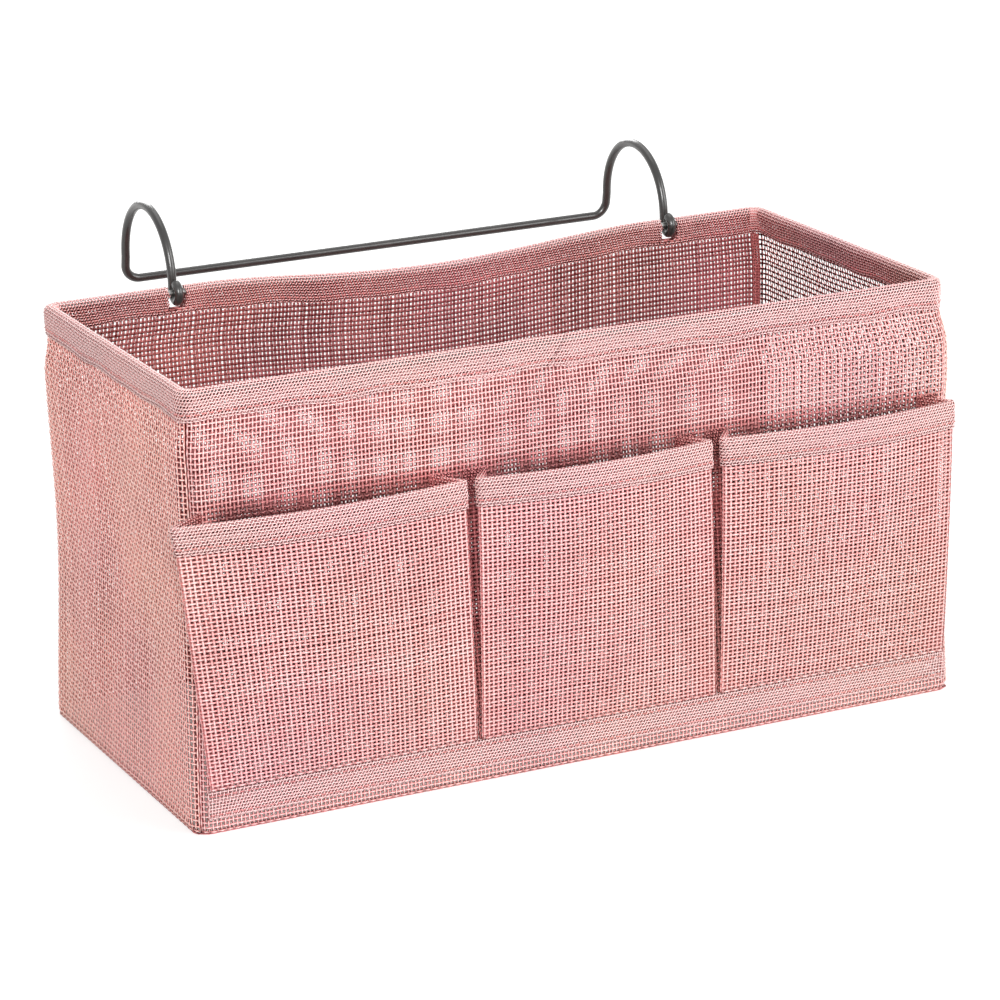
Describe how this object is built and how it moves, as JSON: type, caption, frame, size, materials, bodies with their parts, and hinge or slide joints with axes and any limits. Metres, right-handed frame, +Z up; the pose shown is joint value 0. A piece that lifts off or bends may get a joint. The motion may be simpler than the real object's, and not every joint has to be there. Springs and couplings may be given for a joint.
{
  "type": "bedside caddy",
  "caption": "Mesh cloth bedside caddy with bellows pockets on its front, a wire ring in its rim hem and a swinging wire hanger that hooks over a bed rail.",
  "frame": {"origin": "middle of the face that the caddy stands on", "axes": "+X along the front from the left pocket to the right one, +Y from the pockets to the rail side, +Z up"},
  "size_m": [0.3732, 0.2529, 0.2211],
  "materials": {
    "mesh_cloth": "open square mesh of coated yarn, satin",
    "folded_cloth": "two or more layers of the mesh cloth, folded and stitched",
    "base_board": "plain sheet",
    "rim_steel": "drawn wire, butt-welded ring",
    "hanger_enamel": "glossy black enamel on steel wire"
  },
  "bodies": {
    "bag": {"bottom_panel": "mesh_cloth", "base_board": "base_board", "front_panel": "mesh_cloth", "right_panel": "mesh_cloth", "back_panel": "mesh_cloth", "left_panel": "mesh_cloth", "front_left_binding": "folded_cloth", "front_right_binding": "folded_cloth", "back_left_binding": "folded_cloth", "back_right_binding": "folded_cloth", "rim_hem": "folded_cloth", "rim_wire": "rim_steel", "pocket_band": "folded_cloth", "left_pocket_front": "mesh_cloth", "left_pocket_hem": "folded_cloth", "left_pocket_left_gusset": "mesh_cloth", "left_pocket_right_gusset": "mesh_cloth", "middle_pocket_front": "mesh_cloth", "middle_pocket_hem": "folded_cloth", "middle_pocket_left_gusset": "mesh_cloth", "middle_pocket_right_gusset": "mesh_cloth", "right_pocket_front": "mesh_cloth", "right_pocket_hem": "folded_cloth", "right_pocket_left_gusset": "mesh_cloth", "right_pocket_right_gusset": "mesh_cloth"},
    "hanger": {"hanger_wire": "hanger_enamel"}
  },
  "joints": [
    {"name": "hanger_swing", "type": "hinge", "parent": "bag", "child": "hanger", "pos_m": [0.006, 0.0803, 0.18685], "axis": [1, 0, 0], "range_deg": [-76, 170]}
  ]
}
